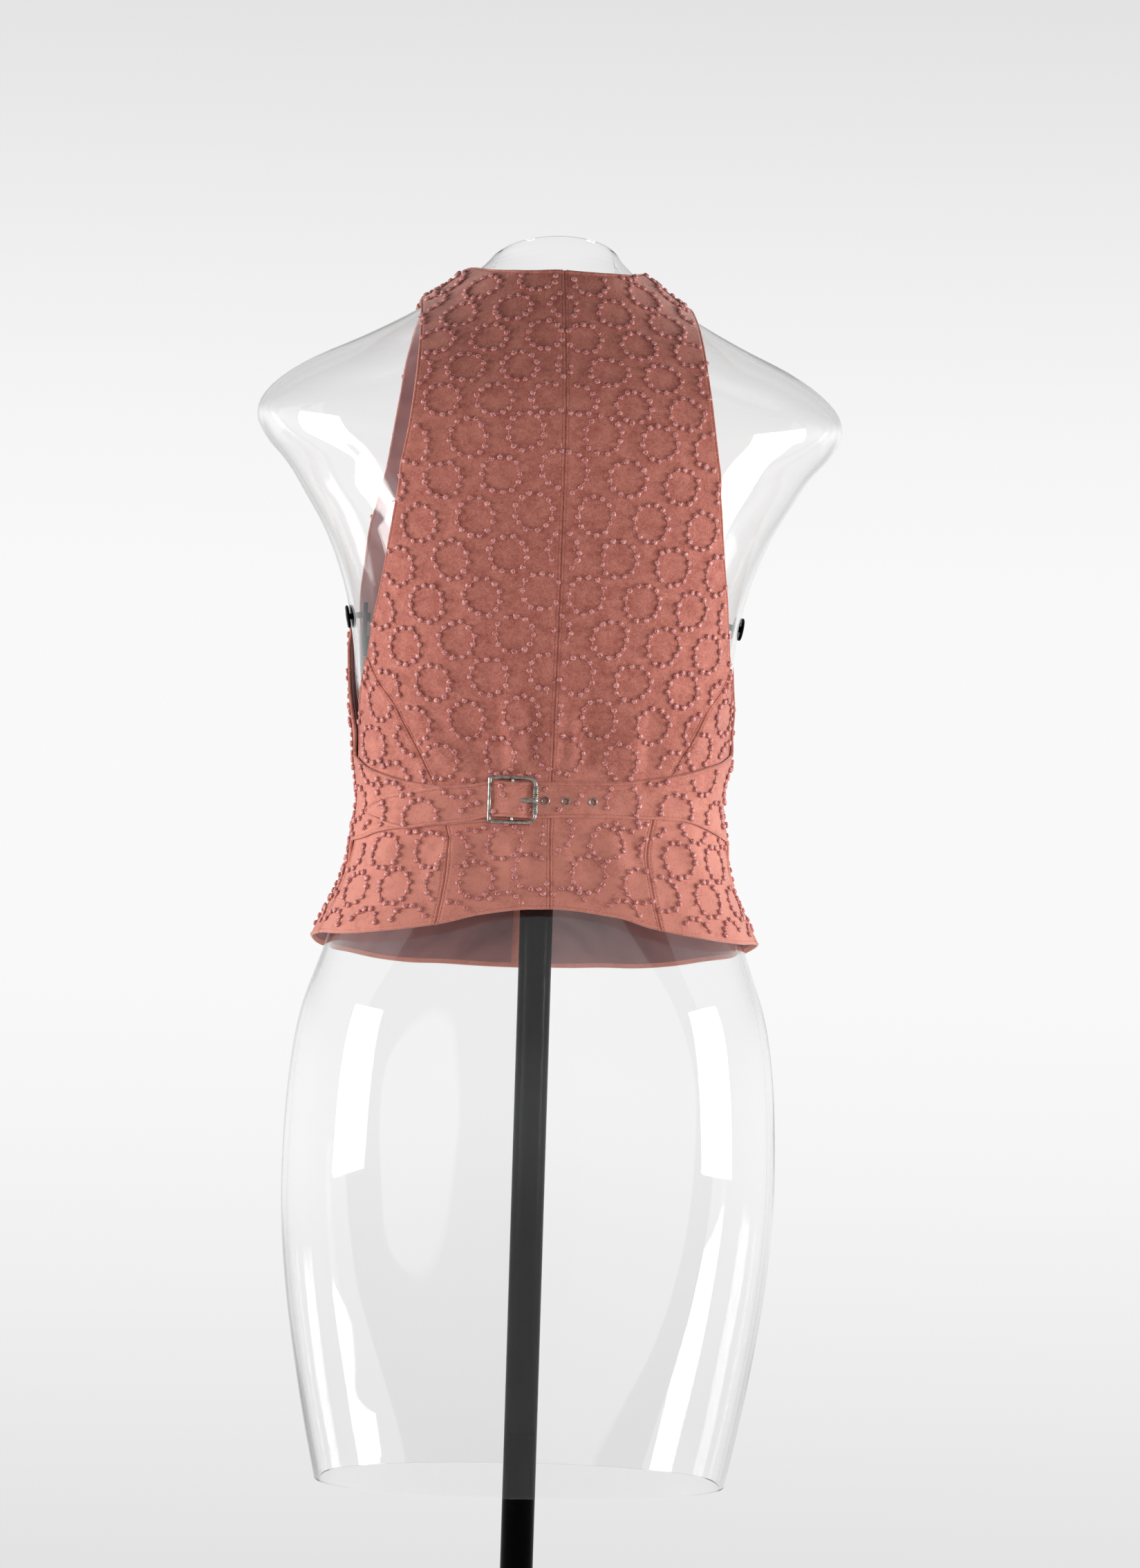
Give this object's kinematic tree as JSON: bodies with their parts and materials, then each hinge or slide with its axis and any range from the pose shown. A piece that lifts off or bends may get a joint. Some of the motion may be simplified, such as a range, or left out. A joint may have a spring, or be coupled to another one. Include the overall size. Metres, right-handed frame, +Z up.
{
  "type": "waistcoat on dress form",
  "caption": "Short fitted wool waistcoat with embroidered rings of knots, a pointed back strap through a metal buckle and eyelets, on a clear limbless dress form with pole and base.",
  "frame": {"origin": "centre of the underside of the stand's base", "axes": "+Z up along the pole; the waistcoat's back, with its buckle, faces -Y and its buttoned front +Y; +X to the right as the back is seen"},
  "size_m": [0.41, 0.34, 1.201],
  "materials": {
    "wool_flannel": "matt napped twill",
    "satin_lining": "soft sheen",
    "nickel": "worn polish",
    "button": "satin",
    "clear_acrylic": "clear, polished",
    "black_metal": "satin"
  },
  "bodies": {
    "root": {"back_left": "wool_flannel", "back_right": "wool_flannel", "side_back_left": "wool_flannel", "side_back_right": "wool_flannel", "front_left": "wool_flannel", "front_right": "wool_flannel", "lining_left": "satin_lining", "lining_right": "satin_lining", "buckle_frame": "nickel", "buckle_roller": "nickel", "buckle_prong": "nickel", "eyelet_1": "nickel", "eyelet_2": "nickel", "eyelet_3": "nickel", "button_1": "button", "button_2": "button", "button_3": "button", "button_4": "button", "button_5": "button", "form_back": "clear_acrylic", "form_front": "clear_acrylic", "form_crossbar": "black_metal", "form_knob_left": "black_metal", "form_knob_right": "black_metal", "stand_pole": "black_metal", "stand_base": "black_metal"}
  },
  "joints": []
}
